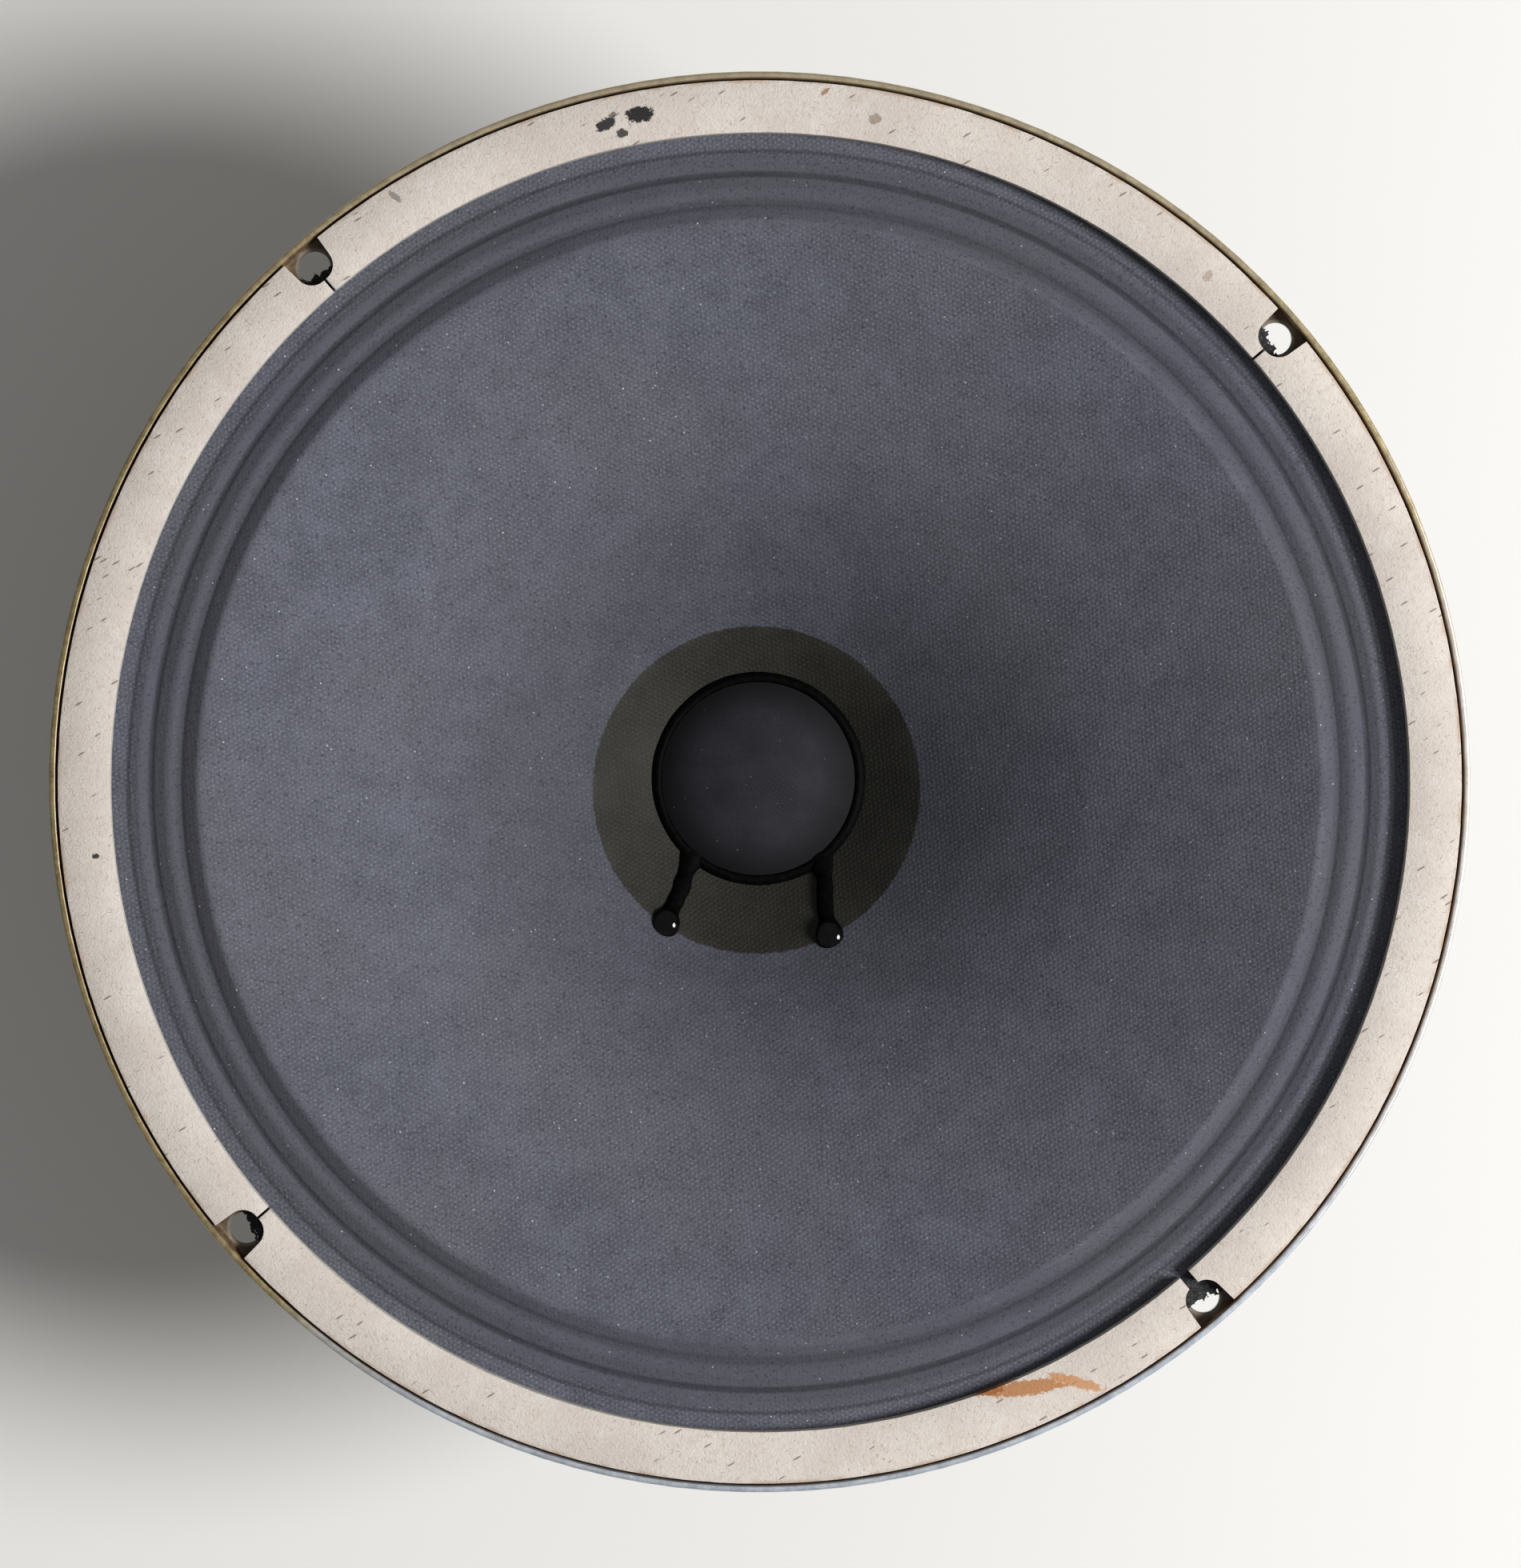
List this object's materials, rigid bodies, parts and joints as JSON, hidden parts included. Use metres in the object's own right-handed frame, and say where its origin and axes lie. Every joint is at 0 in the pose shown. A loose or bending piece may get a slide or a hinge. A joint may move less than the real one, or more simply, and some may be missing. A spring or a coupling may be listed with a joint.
{
  "type": "cone loudspeaker",
  "caption": "Cone loudspeaker: paper cone with a corrugated edge, dust cap, voice coil and spider on a windowed steel basket with a pot magnet. The cone slides on its axis.",
  "frame": {"origin": "centre of the magnet's back face, which the speaker rests on", "axes": "+Z out of the cone's front, -Y towards the terminal board, mounting holes on the diagonals"},
  "size_m": [0.308, 0.308, 0.1336],
  "materials": {
    "lacquered_steel": "thin gold-olive lacquer over plated steel sheet, worn along the rim",
    "gasket_board": "pale pasteboard with brown and grey fibres",
    "cone_paper": "slate blue-grey felted paper with the print of the moulding screen",
    "cap_paper": "dark felted paper, slightly smooth",
    "black_cement": "glossy black cement",
    "spider_cloth": "varnished tan cloth",
    "ring_card": "brown card",
    "plated_steel": "turned and plated",
    "cast_magnet": "dull cast magnet alloy",
    "pot_paint": "black paint with a slight orange peel",
    "screw_steel": "zinc plated, slightly dulled",
    "board_laminate": "brown paper laminate",
    "rivet_metal": "dulled brass",
    "lug_brass": "tinned brass",
    "tinsel_braid": "cotton-cored copper tinsel braid",
    "former_paper": "varnished kraft paper",
    "coil_wire": "enamelled copper wire, as a copper-coloured metal"
  },
  "bodies": {
    "frame": {"basket_rim": "lacquered_steel", "basket_legs": "lacquered_steel", "basket_cup": "lacquered_steel", "gasket_segment_1": "gasket_board", "gasket_segment_2": "gasket_board", "gasket_segment_3": "gasket_board", "gasket_segment_4": "gasket_board", "surround": "cone_paper", "spider": "spider_cloth", "spider_clamp_ring": "ring_card", "top_plate": "plated_steel", "pole_piece": "plated_steel", "magnet_slug": "cast_magnet", "magnet_pot": "pot_paint", "centre_bolt": "screw_steel", "basket_screws": "screw_steel", "terminal_board": "board_laminate", "board_rivets": "rivet_metal", "solder_lug_left": "lug_brass", "solder_lug_right": "lug_brass", "lug_rivets": "rivet_metal", "tinsel_lead_left": "tinsel_braid", "tinsel_lead_right": "tinsel_braid"},
    "cone_assembly": {"cone": "cone_paper", "dust_cap": "cap_paper", "dust_cap_bead": "black_cement", "voice_coil_former": "former_paper", "voice_coil_winding": "coil_wire", "neck_cement": "black_cement", "lead_dressing_left": "black_cement", "lead_dressing_right": "black_cement", "lead_eyelet_left": "rivet_metal", "lead_eyelet_right": "rivet_metal"}
  },
  "joints": [
    {"name": "cone_travel", "type": "slide", "parent": "frame", "child": "cone_assembly", "axis": [0, 0, 1], "range_m": [-0.003, 0.003], "stiffness_N_per_m": 4000, "deforming": ["surround", "spider", "tinsel_lead_left", "tinsel_lead_right"]}
  ]
}
